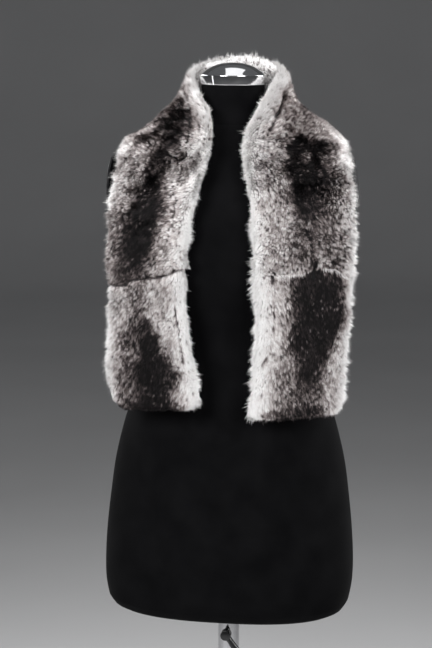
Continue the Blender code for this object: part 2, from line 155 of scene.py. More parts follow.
# Scarf. Each row is a line across the strip: the inner edge, which lies next to the neck
# and the front opening, the outer edge, then how far the middle bows outwards, how deep
# the collar's crease sinks, and half the thickness of the fur.
SCARF_LINES = (
    # inner x, y, z           outer x, y, z            bow     crease  half
    (-0.022, -0.127, 1.003, -0.149, -0.104, 0.994, 0.003, 0.000, 0.0130),
    (-0.026, -0.130, 1.050, -0.153, -0.104, 1.042, 0.004, 0.000, 0.0135),
    (-0.037, -0.132, 1.118, -0.153, -0.102, 1.108, 0.004, 0.000, 0.0135),
    (-0.040, -0.134, 1.187, -0.153, -0.100, 1.177, 0.004, 0.000, 0.0135),
    (-0.034, -0.134, 1.250, -0.154, -0.095, 1.236, 0.005, 0.000, 0.0135),
    (-0.023, -0.129, 1.302, -0.152, -0.082, 1.284, 0.007, 0.002, 0.0135),
    (-0.013, -0.117, 1.344, -0.150, -0.062, 1.318, 0.010, 0.005, 0.0135),
    (-0.010, -0.098, 1.375, -0.149, -0.036, 1.338, 0.009, 0.008, 0.0135),
    (-0.021, -0.068, 1.402, -0.149, 0.000, 1.346, 0.003, 0.008, 0.0125),
    (-0.041, -0.031, 1.426, -0.144, 0.044, 1.343, 0.002, 0.007, 0.0115),
    (-0.054, 0.016, 1.446, -0.122, 0.083, 1.335, 0.003, 0.008, 0.0115),
    (-0.042, 0.062, 1.459, -0.070, 0.101, 1.328, 0.002, 0.010, 0.0120),
    (0.001, 0.084, 1.468, 0.002, 0.105, 1.325, 0.001, 0.009, 0.0120),
    (0.044, 0.064, 1.459, 0.074, 0.100, 1.328, 0.002, 0.010, 0.0120),
    (0.060, 0.018, 1.444, 0.125, 0.080, 1.333, 0.004, 0.014, 0.0125),
    (0.052, -0.028, 1.423, 0.148, 0.043, 1.343, 0.005, 0.012, 0.0125),
    (0.039, -0.065, 1.401, 0.153, 0.000, 1.344, 0.004, 0.009, 0.0130),
    (0.030, -0.095, 1.374, 0.164, -0.035, 1.333, 0.006, 0.006, 0.0135),
    (0.028, -0.114, 1.342, 0.171, -0.061, 1.309, 0.008, 0.004, 0.0135),
    (0.035, -0.126, 1.303, 0.175, -0.080, 1.280, 0.007, 0.002, 0.0135),
    (0.042, -0.131, 1.252, 0.178, -0.093, 1.236, 0.005, 0.000, 0.0135),
    (0.046, -0.133, 1.190, 0.178, -0.098, 1.183, 0.004, 0.000, 0.0135),
    (0.050, -0.132, 1.122, 0.176, -0.101, 1.121, 0.004, 0.000, 0.0135),
    (0.045, -0.131, 1.052, 0.170, -0.103, 1.055, 0.004, 0.000, 0.0135),
    (0.042, -0.130, 0.989, 0.165, -0.104, 0.998, 0.003, 0.000, 0.0130),
)
CREASE_PLACE = 0.3
CREASE_POWER = 3
EDGE_POWER = 7
SEAM_REACH = 0.009
SEAM_PINCH = 0.23
FLARE_REACH = 0.024
END_RADIUS = 0.012

# Each row is a pelt: its node, its start and end as places in SCARF_LINES, how far its inner
# corner flares at its start and end, its cut all round and along, how wide the white fur is
# at the inner and outer edge, the tone between them and on the side towards the form, how
# ruffled it is, how far in from the inner edge its dark flecks start, how far it is combed
# down, and the share of its strands on the side towards the form.
PELTS = (
    ("pelt_left_end", 0.0, 2.86, 0.0, -0.003, (0.25, 0.175),
     0.03, 0.022, 0.33, 0.2, 0.75, 0.01, 0.0052, 0.22),
    ("pelt_left_chest", 2.86, 5.95, 0.006, 0.0, (0.265, 0.165),
     0.022, 0.02, 0.32, 0.2, 1.0, 0.004, 0.004, 0.2),
    ("pelt_left_shoulder", 5.95, 9.75, 0.0, 0.0, (0.3, 0.15),
     0.036, 0.03, 0.36, 0.06, 0.95, 0.004, 0.004, 0.22),
    ("pelt_nape", 9.75, 14.25, 0.0, 0.0, (0.28, 0.225),
     0.04, 0.024, 0.34, 0.06, 0.9, 0.004, 0.005, 0.36),
    ("pelt_right_shoulder", 14.25, 18.05, 0.0, 0.0, (0.3, 0.145),
     0.046, 0.046, 0.32, 0.06, 1.0, 0.026, 0.004, 0.22),
    ("pelt_right_chest", 18.05, 21.1, 0.0, 0.0, (0.285, 0.16),
     0.034, 0.018, 0.34, 0.2, 1.0, 0.02, 0.0042, 0.2),
    ("pelt_right_end", 21.1, 24.0, 0.003, 0.0, (0.255, 0.185),
     0.042, 0.018, 0.3, 0.2, 0.7, 0.018, 0.006, 0.22),
)
# Each seam: its place, how deep the fur dips along it, and how far it wanders along the
# strip at shares of the width.
SEAMS = {
    2.86: (1.0, ((0.0, 0.018), (0.14, 0.0155), (0.25, 0.0095), (0.53, 0.007), (0.64, 0.007),
                 (0.71, -0.0005), (1.0, -0.001))),
    5.95: (0.45, ((0.0, 0.01), (0.15, 0.002), (0.25, -0.0065), (0.38, 0.004), (1.0, 0.002))),
    9.75: (0.2, ((0.0, 0.0), (1.0, 0.0))),
    14.25: (0.2, ((0.0, 0.0), (1.0, 0.0))),
    18.05: (0.15, ((0.0, 0.0), (1.0, 0.0))),
    21.1: (0.8, ((0.0, -0.004), (0.26, -0.006), (0.5, -0.012), (0.66, -0.021), (0.78, -0.018),
                 (0.93, -0.009), (1.0, -0.007))),
}
SEAM_FALLOFF = 0.075
# Each hem: its place, and how far its inner and outer corner reach across and along.
HEMS = {0.0: ((0.014, 0.014), (0.028, 0.048)), 24.0: ((0.011, 0.012), (0.015, 0.015))}
STRANDS = 119000
STRAND_HALF_WIDTH = 0.00048
ROOT_DEPTH = 0.009
SKIN_DEPTH = 0.0055
CLUMP_SIZE = 0.0029
CLUMP_STRETCH = 1.3
AROUND_WIDTH = 0.28
# Steps that scatter points evenly over a square.
EVEN_STEPS = (0.7548776662466927, 0.5698402909980532)
# The outer face with its rolled edges: its share of the way round the section, and how far
# before the middle of the inner edge it starts.
FRONT_ROUND = 0.53
FRONT_BEFORE = 0.015
# Where the rolled edges start, as a share of the half width.
EDGE_START = 0.8
# The nape's middle place, from which the fur is combed down both ways, and how soon it turns.
COMB_MIDDLE = 12.0
COMB_TURN = 2.5
# Locks: the size of their ripples, how far they lean in metres, and their seed.
LOCKS = ((0.03, 0.0024, 31), (0.011, 0.0024, 41))
# Waves in the pile's height: size, height, how much higher at the rolled edges, and seed.
WAVES = ((0.012, 0.0012, 0.002, 61), (0.0055, 0.0009, 0.0008, 62))
CLUMP_HEIGHT = 0.0006
CLUMP_HEIGHT_AT_EDGE = 0.0013
HEIGHT_SCATTER = 0.0008
LEAN_SCATTER = 0.0007
# Strands that stand out of the pile: their share, and how far they stand out.
STRAY_SHARE = 0.035
STRAY_SHARE_AT_EDGE = 0.05
STRAY_HEIGHTS = (0.0005, 0.0035)
# Tones run from 0, white, to 1, black.
LEAST_TONE = 0.02
STROKE_TONE = 0.96
# the tone that furrows and seams are darkened towards: painted shade in their dips
FURROW_SHADE_TONE = 0.95
# White of the side towards the form: how far it reaches at the inner edge, over how much
# it ends there, and how wide it is at the outer edge.
BACK_WHITE = (0.012, 0.014, 0.03)
# The colours of the underfur and of the tips, by their tone.
FUR_ROOT_COLOURS = (
    (0.0, (0.62, 0.605, 0.6)),
    (0.08, (0.42, 0.4, 0.395)),
    (0.2, (0.12, 0.106, 0.107)),
    (0.5, (0.028, 0.023, 0.024)),
    (1.0, (0.004, 0.0035, 0.004)),
)
FUR_TIP_COLOURS = (
    (0.0, (0.95, 0.945, 0.94)),
    (0.12, (0.88, 0.86, 0.857)),
    (0.3, (0.66, 0.612, 0.605)),
    (0.5, (0.36, 0.315, 0.308)),
    (0.68, (0.12, 0.095, 0.093)),
    (0.84, (0.019, 0.015, 0.0155)),
    (1.0, (0.004, 0.0034, 0.0037)),
)
# Wander of the strokes and furrows: how far in metres, over what size.
STROKE_WANDER = ((0.0035, 0.018), (0.0025, 0.006))
STROKE_RAGGED = (0.0022, 0.0035)
FURROW_WANDER = ((0.0012, 0.007),)
# Pits: small partings that show the dark underfur. EDGE_PITS is the share of them that the
# rolled edges have, times how far from the edge a pelt's pits start.
PIT_SPACING = 0.0047
PIT_RADIUS = 0.0012
PIT_DEPTH = 0.0045
PIT_DARKER = 0.88
FLECK_PALER = 0.22
EDGE_PITS = 0.0018
# Dark flecks on the nape's side towards the neck: their place, spread and share.
NAPE_FLECKS = (12.7, 0.055, 0.8)

# Dark markings on the outer face, and painted shade across the undersides of the two hems, in
# groups that each mark the pelts between two places. Each row is a stroke from one place and share
# of the width to another, with its half width at both ends in metres and its strength.
STROKES = (
    (0.0, 2.86, (
        (2.2, 0.47, 0.006, 1.6, 0.45, 0.016, 0.85),
        (1.6, 0.45, 0.018, 1.1, 0.43, 0.025, 1.0),
        (1.1, 0.43, 0.025, 0.15, 0.46, 0.031, 1.0),
        (2.0, 0.68, 0.012, 0.3, 0.74, 0.02, 0.6),
        (2.8, 0.58, 0.012, 2.1, 0.57, 0.014, 0.45),
        # painted shade across the left end's hem, where it curves under
        (0.05, 0.25, 0.009, 0.08, 0.85, 0.013, 0.85),
    )),
    (2.86, 9.75, (
        (6.1, 0.43, 0.014, 5.55, 0.46, 0.017, 0.6),
        (5.55, 0.46, 0.017, 5.1, 0.49, 0.015, 0.62),
        (5.1, 0.48, 0.015, 4.6, 0.47, 0.026, 0.92),
        (4.6, 0.47, 0.028, 3.8, 0.55, 0.029, 0.92),
        (3.8, 0.55, 0.028, 3.05, 0.64, 0.025, 0.78),
        (4.7, 0.45, 0.012, 3.5, 0.58, 0.015, 0.92),
        (4.3, 0.88, 0.014, 2.95, 0.92, 0.018, 0.45),
        (9.1, 0.3, 0.01, 8.2, 0.36, 0.02, 0.52),
        (9.1, 0.5, 0.014, 8.3, 0.58, 0.018, 0.52),
        (8.2, 0.35, 0.021, 6.9, 0.34, 0.021, 0.56),
        (8.8, 0.24, 0.005, 7.4, 0.26, 0.006, 0.6),
        (6.9, 0.35, 0.017, 6.2, 0.38, 0.01, 0.5),
        (7.6, 0.46, 0.016, 6.85, 0.7, 0.014, 0.72),
    )),
    (9.75, 14.25, (
        (9.8, 0.55, 0.02, 14.2, 0.58, 0.02, 0.75),
    )),
    (14.25, 21.1, (
        (14.4, 0.42, 0.014, 16.6, 0.46, 0.02, 0.12),
        (17.26, 0.47, 0.011, 17.1, 0.66, 0.012, 0.93),
        (17.4, 0.5, 0.019, 18.1, 0.53, 0.026, 0.95),
        (17.05, 0.76, 0.013, 18.7, 0.74, 0.013, 0.48),
        (18.1, 0.53, 0.026, 19.2, 0.54, 0.022, 0.94),
        (19.0, 0.56, 0.026, 20.1, 0.58, 0.03, 0.36),
        (20.0, 0.58, 0.026, 20.9, 0.6, 0.026, 0.14),
        (20.0, 0.5, 0.009, 20.7, 0.5, 0.007, 0.26),
        (19.4, 0.8, 0.014, 20.6, 0.8, 0.016, 0.2),
    )),
    (21.1, 24.0, (
        (21.08, 0.61, 0.031, 21.7, 0.63, 0.033, 0.96),
        (21.12, 0.74, 0.022, 22.2, 0.76, 0.015, 0.92),
        (21.7, 0.63, 0.032, 22.3, 0.61, 0.026, 0.96),
        (22.3, 0.61, 0.026, 22.95, 0.62, 0.017, 0.9),
        (22.9, 0.59, 0.018, 23.6, 0.57, 0.026, 0.5),
        (21.9, 0.44, 0.014, 23.6, 0.42, 0.024, 0.3),
        (23.78, 0.18, 0.007, 23.8, 0.72, 0.01, 0.62),
        # painted shade across the right end's hem, where it curves under
        (23.99, 0.08, 0.003, 23.99, 0.9, 0.003, 0.95),
    )),
)
# Pale spots in the markings, and tufts, with one painted highlight and one darker spot of painted
# shade. Each row is a place, share, radius, how much paler and how much taller the fur is there.
SPOTS = (
    (17.72, 0.54, 0.009, 0.36, 0.0),
    (9.05, 0.19, 0.0105, 0.85, 0.0035),
    (6.75, 0.88, 0.015, 0.5, 0.0),
    (6.25, 0.2, 0.0075, 0.45, 0.001),
    (6.2, 0.1, 0.011, 0.7, 0.0),
    (5.95, 0.13, 0.012, 0.6, 0.0),
    (8.42, 0.76, 0.03, 0.0, -0.006),
    # painted highlight: the tuft beside the right chest's furrow, made taller and painted paler
    (20.78, 0.52, 0.0035, 0.7, 0.0015),
    (5.65, 1.0, 0.018, 0.0, -0.001),
    (4.4, 1.0, 0.006, 0.2, 0.0045),
    # painted shade: a sunk spot painted darker where the right collar's crease starts
    (14.62, 0.17, 0.007, -0.9, -0.006),
    (15.2, 0.84, 0.016, 0.4, 0.0),
    (16.0, 0.86, 0.018, 0.25, 0.0),
    (17.1, 1.0, 0.012, 0.0, 0.003),
    (17.85, 1.0, 0.014, 0.0, -0.003),
    (18.8, 1.0, 0.019, 0.0, 0.0035),
    (19.7, 1.0, 0.019, 0.0, 0.003),
    (18.6, 0.0, 0.02, 0.0, -0.003),
    (19.6, 0.0, 0.022, 0.0, -0.004),
    (20.5, 0.0, 0.018, 0.0, -0.003),
    (23.1, 0.0, 0.018, 0.0, -0.0025),
    (14.4, 0.0, 0.032, 0.0, 0.006),
    (9.8, 0.0, 0.026, 0.0, 0.002),
    (2.95, 0.0, 0.01, 0.0, 0.003),
    (6.2, 0.0, 0.007, 0.0, 0.0025),
    (17.3, 0.0, 0.008, 0.0, 0.002),
    (23.8, 0.97, 0.009, 0.6, 0.001),
    (23.8, 0.05, 0.009, 0.3, 0.002),
    (0.35, 0.03, 0.01, 0.0, 0.002),
)
# Furrows in the fur, darkened with painted shade: a line of (place, share) points, its half width,
# how deep the fur sinks, how far it leans away, how dark its painted shade is, and how broken it is.
FURROWS = (
    # the collar's creases, with painted shade in them
    (((9.2, 0.15), (8.6, 0.16), (7.7, 0.21), (6.9, 0.21), (6.45, 0.21)),
     0.003, 0.0045, 0.0026, 0.45, 0.3),
    (((14.3, 0.12), (14.8, 0.17), (15.5, 0.21), (16.4, 0.22), (16.9, 0.2)),
     0.0028, 0.0044, 0.0026, 0.42, 0.3),
    # partings along the white edges and in the right chest's marking
    (((5.5, 0.2), (4.8, 0.17), (4.0, 0.15), (3.3, 0.12)), 0.0015, 0.0035, 0.0016, 0.55, 0.9),
    (((2.8, 0.12), (2.3, 0.1), (1.6, 0.09), (1.2, 0.1)), 0.0014, 0.003, 0.0014, 0.5, 0.9),
    (((20.95, 0.2), (21.4, 0.19), (22.0, 0.18), (22.4, 0.16), (22.75, 0.1)),
     0.0017, 0.0044, 0.0018, 0.95, 0.6),
    (((18.4, 0.7), (18.9, 0.76), (19.3, 0.78)), 0.0015, 0.0035, 0.0018, 0.5, 0.5),
    (((19.9, 0.53), (20.2, 0.56), (20.57, 0.6), (20.95, 0.61)), 0.0026, 0.006, 0.0022, 0.9, 0.3),
)
# How the seams look: their place, half width, depth, lean, and how dark their painted shade is at
# shares of the width. A tint below 0 is a light ridge.
SEAM_LINES = (
    (2.86, 0.0018, 0.0045, 0.0014, ((0.0, 0.1), (0.08, 0.6), (0.16, 0.8), (1.0, 0.8))),
    (5.95, 0.0018, 0.004, 0.0014, ((0.0, 0.0), (0.17, 0.0), (0.22, 0.7), (0.36, 0.9), (0.44, 0.1),
                                   (1.0, 0.0))),
    (21.1, 0.0012, 0.003, 0.0012, ((0.0, 0.0), (0.2, -0.2), (0.26, -0.9), (0.5, -0.9), (0.58, 0.7),
                                   (0.64, 0.7), (0.7, -1.0), (1.0, -1.0))),
)
LIGHT_RIDGE = -0.3
# Cells along each side of a noise table, and how far a clump's middle strays in its cell.
NOISE_CELLS = 97
CLUMP_JITTER = 0.42


def smooth_rows(rows, places):
    """The rows' values at fractional places, on a Catmull-Rom curve through them."""
    rows = np.asarray(rows, float)
    padded = np.vstack([2 * rows[0] - rows[1], rows, 2 * rows[-1] - rows[-2]])
    places = np.clip(np.asarray(places, float), 0, len(rows) - 1)
    start = np.minimum(places.astype(int), len(rows) - 2)
    t = (places - start)[:, None]
    a, b, c, d = (padded[start + k] for k in range(4))
    square = (2 * a - 5 * b + 4 * c - d) * t**2
    return 0.5 * (2 * b + (c - a) * t + square + (3 * b - a - 3 * c + d) * t**3)


def unit_rows(vectors):
    return vectors / np.maximum(np.linalg.norm(vectors, axis=1, keepdims=True), 1e-12)


def soft_step(x):
    x = np.clip(x, 0, 1)
    return x * x * (3 - 2 * x)


def ripple(u, v, size, seed):
    """Smooth noise from -1 to 1 over a plane, with features about size across."""
    table = np.random.default_rng(seed).uniform(-1, 1, (NOISE_CELLS, NOISE_CELLS))
    x, y = u / size, v / size
    i, j = np.floor(x).astype(int), np.floor(y).astype(int)
    fx, fy = soft_step(x - i), soft_step(y - j)
    i, j = i % NOISE_CELLS, j % NOISE_CELLS
    k, m = (i + 1) % NOISE_CELLS, (j + 1) % NOISE_CELLS
    low = table[i, j] * (1 - fx) + table[k, j] * fx
    high = table[i, m] * (1 - fx) + table[k, m] * fx
    return low * (1 - fy) + high * fy


def clumps(u, v, size, seed):
    """The way from each point to the middle of its clump, and the clump's own number."""
    table = np.random.default_rng(seed).uniform(-1, 1, (NOISE_CELLS, NOISE_CELLS, 3))
    x, y = u / size, v / size
    i, j = np.floor(x).astype(int), np.floor(y).astype(int)
    best = np.full(len(u), np.inf)
    way_x, way_y, own = np.zeros(len(u)), np.zeros(len(u)), np.zeros(len(u))
    for a in (-1, 0, 1):
        for b in (-1, 0, 1):
            entry = table[(i + a) % NOISE_CELLS, (j + b) % NOISE_CELLS]
            to_x = i + a + 0.5 + CLUMP_JITTER * entry[:, 0] - x
            to_y = j + b + 0.5 + CLUMP_JITTER * entry[:, 1] - y
            away = to_x**2 + to_y**2
            nearer = away < best
            best = np.where(nearer, away, best)
            way_x = np.where(nearer, to_x, way_x)
            way_y = np.where(nearer, to_y, way_y)
            own = np.where(nearer, entry[:, 2], own)
    return way_x * size, way_y * size, own


# Mesh helpers


def new_object(name, mesh, finish):
    mesh.materials.append(finish)
    thing = bpy.data.objects.new(name, mesh)
    bpy.context.scene.collection.objects.link(thing)
    return thing


def mesh_of(name, points, faces):
    mesh = bpy.data.meshes.new(name)
    mesh.from_pydata([tuple(p) for p in points], [], faces)
    mesh.shade_smooth()
    return mesh


def loft_faces(rings, around, closed=False, capped=True):
    """Quads between rings of points, with a flat face on each open end if it is capped."""
    faces = []
    for ring in range(rings if closed else rings - 1):
        here = ring * around
        there = (ring + 1) % rings * around
        for i in range(around):
            j = (i + 1) % around
            faces.append((here + i, here + j, there + j, there + i))
    if capped and not closed:
        faces.append(tuple(reversed(range(around))))
        faces.append(tuple(range((rings - 1) * around, rings * around)))
    return faces


def rounded(profile, closed):
    """The profile with each corner cut to a small arc, so that edges catch the light."""
    rows = []
    count = len(profile)
    for i, (x, z, radius) in enumerate(profile):
        here = Vector((x, z))
        if radius == 0 or (not closed and i in (0, count - 1)):
            rows.append(here)
            continue
        before = Vector(profile[(i - 1) % count][:2])
        after = Vector(profile[(i + 1) % count][:2])
        start = here + (before - here).normalized() * radius
        end = here + (after - here).normalized() * radius
        for step in range(6):
            t = step / 5
            rows.append(start * (1 - t) ** 2 + here * 2 * t * (1 - t) + end * t**2)
    return rows


def circle(around):
    """The cosine and sine of equal steps all round."""
    angles = [2 * math.pi * i / around for i in range(around)]
    return [(math.cos(angle), math.sin(angle)) for angle in angles]


def turned_points(rows, around):
    return [(radius * c, radius * s, z) for radius, z in rows for c, s in circle(around)]


def turned(name, profile, finish, around=96, closed=False):
    """A piece turned about Z, from rows of radius, z and how far its corner is rounded."""
    rows = rounded(profile, closed)
    mesh = mesh_of(name, turned_points(rows, around), loft_faces(len(rows), around, closed))
    mesh.set_sharp_from_angle(angle=math.radians(40))
    return new_object(name, mesh, finish)


def place_piece(piece, body, slot, *nodes):
    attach(piece, body)
    if nodes:
        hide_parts(*nodes)
    return piece


# Materials


def set_inputs(node, **values):
    """Sets a node's inputs by name, with _ for each space."""
    for name, value in values.items():
        node.inputs[name.replace("_", " ")].default_value = value


def add_node(made, kind, **values):
    node = made.node_tree.nodes.new("ShaderNode" + kind)
    set_inputs(node, **values)
    return node


def link(made, source, output, target, entry):
    made.node_tree.links.new(source.outputs[output], target.inputs[entry])


def new_material(name, roughness, **values):
    """A new material, with its shader's inputs set, and the shader."""
    made = bpy.data.materials.new(name)
    made.use_nodes = True
    shader = made.node_tree.nodes["Principled BSDF"]
    set_inputs(shader, Roughness=roughness, **values)
    return made, shader


def add_ramp(made, source, output, stops):
    """Colours that go by another node's output, from rows of a value and a colour."""
    node = add_node(made, "ValToRGB")
    elements = node.color_ramp.elements
    while len(elements) < len(stops):
        elements.new(0.5)
    for element, (at, colour) in zip(elements, stops):
        element.position = at
        element.color = (*colour, 1)
    link(made, source, output, node, "Fac")
    return node


def colour_by(made, shader, texture, stops):
    """Gives the material its colour from a texture over the object."""
    place = add_node(made, "TexCoord")
    link(made, place, "Object", texture, "Vector")
    link(made, add_ramp(made, texture, "Fac", stops), "Color", shader, "Base Color")
    return place


def bump_by(made, shader, texture, strength, distance):
    bump = add_node(made, "Bump", Strength=strength, Distance=distance)
    link(made, texture, "Fac", bump, "Height")
    link(made, bump, "Normal", shader, "Normal")


def fur_material(name, underfur):
    """Fur whose colour goes by its tone, from white to black, and by the way up a strand."""
    made, shader = new_material(name, 0.62, Specular_IOR_Level=0.12, Sheen_Weight=0.02, Sheen_Roughness=0.5)
    tone = add_node(made, "Attribute")
    tone.attribute_name = "tone"
    root = add_ramp(made, tone, "Fac", FUR_ROOT_COLOURS)
    if underfur:
        link(made, root, "Color", shader, "Base Color")
        return made
    tip = add_ramp(made, tone, "Fac", FUR_TIP_COLOURS)
    up = add_node(made, "Attribute")
    up.attribute_name = "up"
    rise = add_node(made, "MapRange", From_Min=0.28, From_Max=0.72)
    rise.interpolation_type = "SMOOTHSTEP"
    link(made, up, "Fac", rise, "Value")
    blend = add_node(made, "Mix")
    blend.data_type = "RGBA"
    link(made, rise, "Result", blend, "Factor")
    link(made, root, "Color", blend, "A")
    link(made, tip, "Color", blend, "B")
    link(made, blend, "Result", shader, "Base Color")
    return made


def jersey_material():
    """Black knit: fine wales as bump, and a faint unevenness of the dye."""
    made, shader = new_material("black_jersey", 0.9, Specular_IOR_Level=0.04, Sheen_Weight=0.007,
                                Sheen_Roughness=0.4)
    dye = ((0.3, (0.0018, 0.0018, 0.0021)), (0.7, (0.0034, 0.0034, 0.0038)))
    place = colour_by(made, shader, add_node(made, "TexNoise", Scale=24), dye)
    stretch = add_node(made, "Mapping", Scale=(1500, 1500, 700))
    knit = add_node(made, "TexNoise", Scale=1, Detail=1)
    link(made, place, "Object", stretch, "Vector")
    link(made, stretch, "Vector", knit, "Vector")
    bump_by(made, shader, knit, 0.35, 0.0004)
    return made


def chrome_material():
    """Polished chrome with faint wipe marks."""
    made, shader = new_material("chrome", 0.06, Metallic=1)
    marks = add_node(made, "TexNoise", Scale=60, Detail=4)
    colour_by(made, shader, marks, ((0.3, (0.72, 0.72, 0.74)), (0.7, (0.8, 0.8, 0.81))))
    rough = add_node(made, "MapRange", To_Min=0.04, To_Max=0.1)
    link(made, marks, "Fac", rough, "Value")
    link(made, rough, "Result", shader, "Roughness")
    return made


def steel_material():
    """Brushed steel with fine turned rings, for the base plate."""
    made, shader = new_material("brushed_steel", 0.32, Metallic=1)
    rings = add_node(made, "TexWave", Scale=160, Distortion=3, Detail=4, Detail_Scale=3)
    rings.wave_type = "RINGS"
    rings.rings_direction = "Z"
    colour_by(made, shader, rings, ((0.0, (0.4, 0.4, 0.41)), (1.0, (0.52, 0.52, 0.53))))
    bump_by(made, shader, rings, 0.15, 0.0002)
    return made


def plastic_material(name, roughness, specular):
    """Black moulded plastic with a fine grain."""
    made, shader = new_material(name, roughness, Specular_IOR_Level=specular)
    grain = add_node(made, "TexNoise", Scale=900)
    colour_by(made, shader, grain, ((0.35, (0.007, 0.007, 0.008)), (0.65, (0.013, 0.013, 0.014))))
    bump_by(made, shader, grain, 0.12, 0.0003)
    return made


# The strip's own geometry


class Strip:
    """The strip at an array of places: its edges, axes and measures."""

    def __init__(self, places):
        step = 0.01
        row, before, after = (smooth_rows(SCARF_LINES, places + s) for s in (0, -step, step))
        self.inner = row[:, :3]
        across = row[:, 3:6] - self.inner
        self.width = np.linalg.norm(across, axis=1)
        self.across = across / self.width[:, None]
        along = after[:, :3] + after[:, 3:6] - before[:, :3] - before[:, 3:6]
        self.normal = unit_rows(np.cross(along, self.across))
        self.onward = np.cross(self.across, self.normal)
        self.bow, self.crease, self.half = row[:, 6], row[:, 7], row[:, 8]


def crease_shape(share):
    power = math.log(0.5) / math.log(CREASE_PLACE)
    return np.sin(math.pi * np.clip(share, 0, 1) ** power) ** CREASE_POWER


def run_table():
    """Places and how far along the strip's middle they are."""
    places = np.linspace(0, len(SCARF_LINES) - 1, 961)
    rows = smooth_rows(SCARF_LINES, places)
    middle = (rows[:, :3] + rows[:, 3:6]) / 2
    steps = np.linalg.norm(np.diff(middle, axis=0), axis=1)
    return places, np.concatenate([[0], np.cumsum(steps)])


RUN_PLACES, RUNS = run_table()
TYPICAL_HALF_WIDTH = 0.069
TYPICAL_HALF_THICKNESS = 0.013


def outline_table():
    """Points round the section, by the share of the way round: w, h and that share. It starts
    in the middle of the inner edge, goes over the outer face and comes back on the inner."""
    angle = np.linspace(0, 2 * math.pi, 2881)
    c, h = -np.cos(angle), np.sin(angle)
    w = np.sign(c) * np.abs(c) ** (2 / EDGE_POWER)
    steps = np.hypot(np.diff(w) * TYPICAL_HALF_WIDTH, np.diff(h) * TYPICAL_HALF_THICKNESS)
    run = np.concatenate([[0], np.cumsum(steps)])
    return w, h, run / run[-1]


OUTLINE_W, OUTLINE_H, OUTLINE_ROUND = outline_table()


def on_outline(around):
    return np.interp(around, OUTLINE_ROUND, OUTLINE_W), np.interp(around, OUTLINE_ROUND, OUTLINE_H)


def off_segment(u, v, start, end):
    """How far along a segment each (u, v) lies, from 0 to 1, and its offset from there."""
    (u0, v0), (u1, v1) = start, end
    du, dv = u1 - u0, v1 - v0
    t = np.clip(((u - u0) * du + (v - v0) * dv) / (du * du + dv * dv), 0, 1)
    return t, u - u0 - t * du, v - v0 - t * dv


def near_line(points, u, v):
    """How far each (u, v) is from a line of points, and on which side."""
    best = np.full(len(u), np.inf)
    side = np.ones(len(u))
    for start, end in zip(points, points[1:]):
        _, off_u, off_v = off_segment(u, v, start, end)
        away = np.hypot(off_u, off_v)
        nearer = away < best
        best = np.where(nearer, away, best)
        turn = (end[0] - start[0]) * off_v - (end[1] - start[1]) * off_u
        side = np.where(nearer, np.sign(turn), side)
    return best, side


def flat_place(place, share):
    """A (place, share) point as metres along and across the strip."""
    run = float(np.interp(place, RUN_PLACES, RUNS))
    return run, share * float(Strip(np.array([place])).width[0])


def edge_shift(place, share):
    """How far a pelt's edge lies from its place along the strip, at shares of the width."""
    if place in SEAMS:
        return np.interp(share, *zip(*SEAMS[place][1]))
    width = float(Strip(np.array([place])).width[0])
    shift = np.zeros(len(share))
    for (across, along), off_side in zip(HEMS[place], (share * width, (1 - share) * width)):
        into = np.clip(1 - off_side / across, 0, 1)
        shift += along * (1 - np.sqrt(1 - into**2))
    return shift if place == 0 else -shift


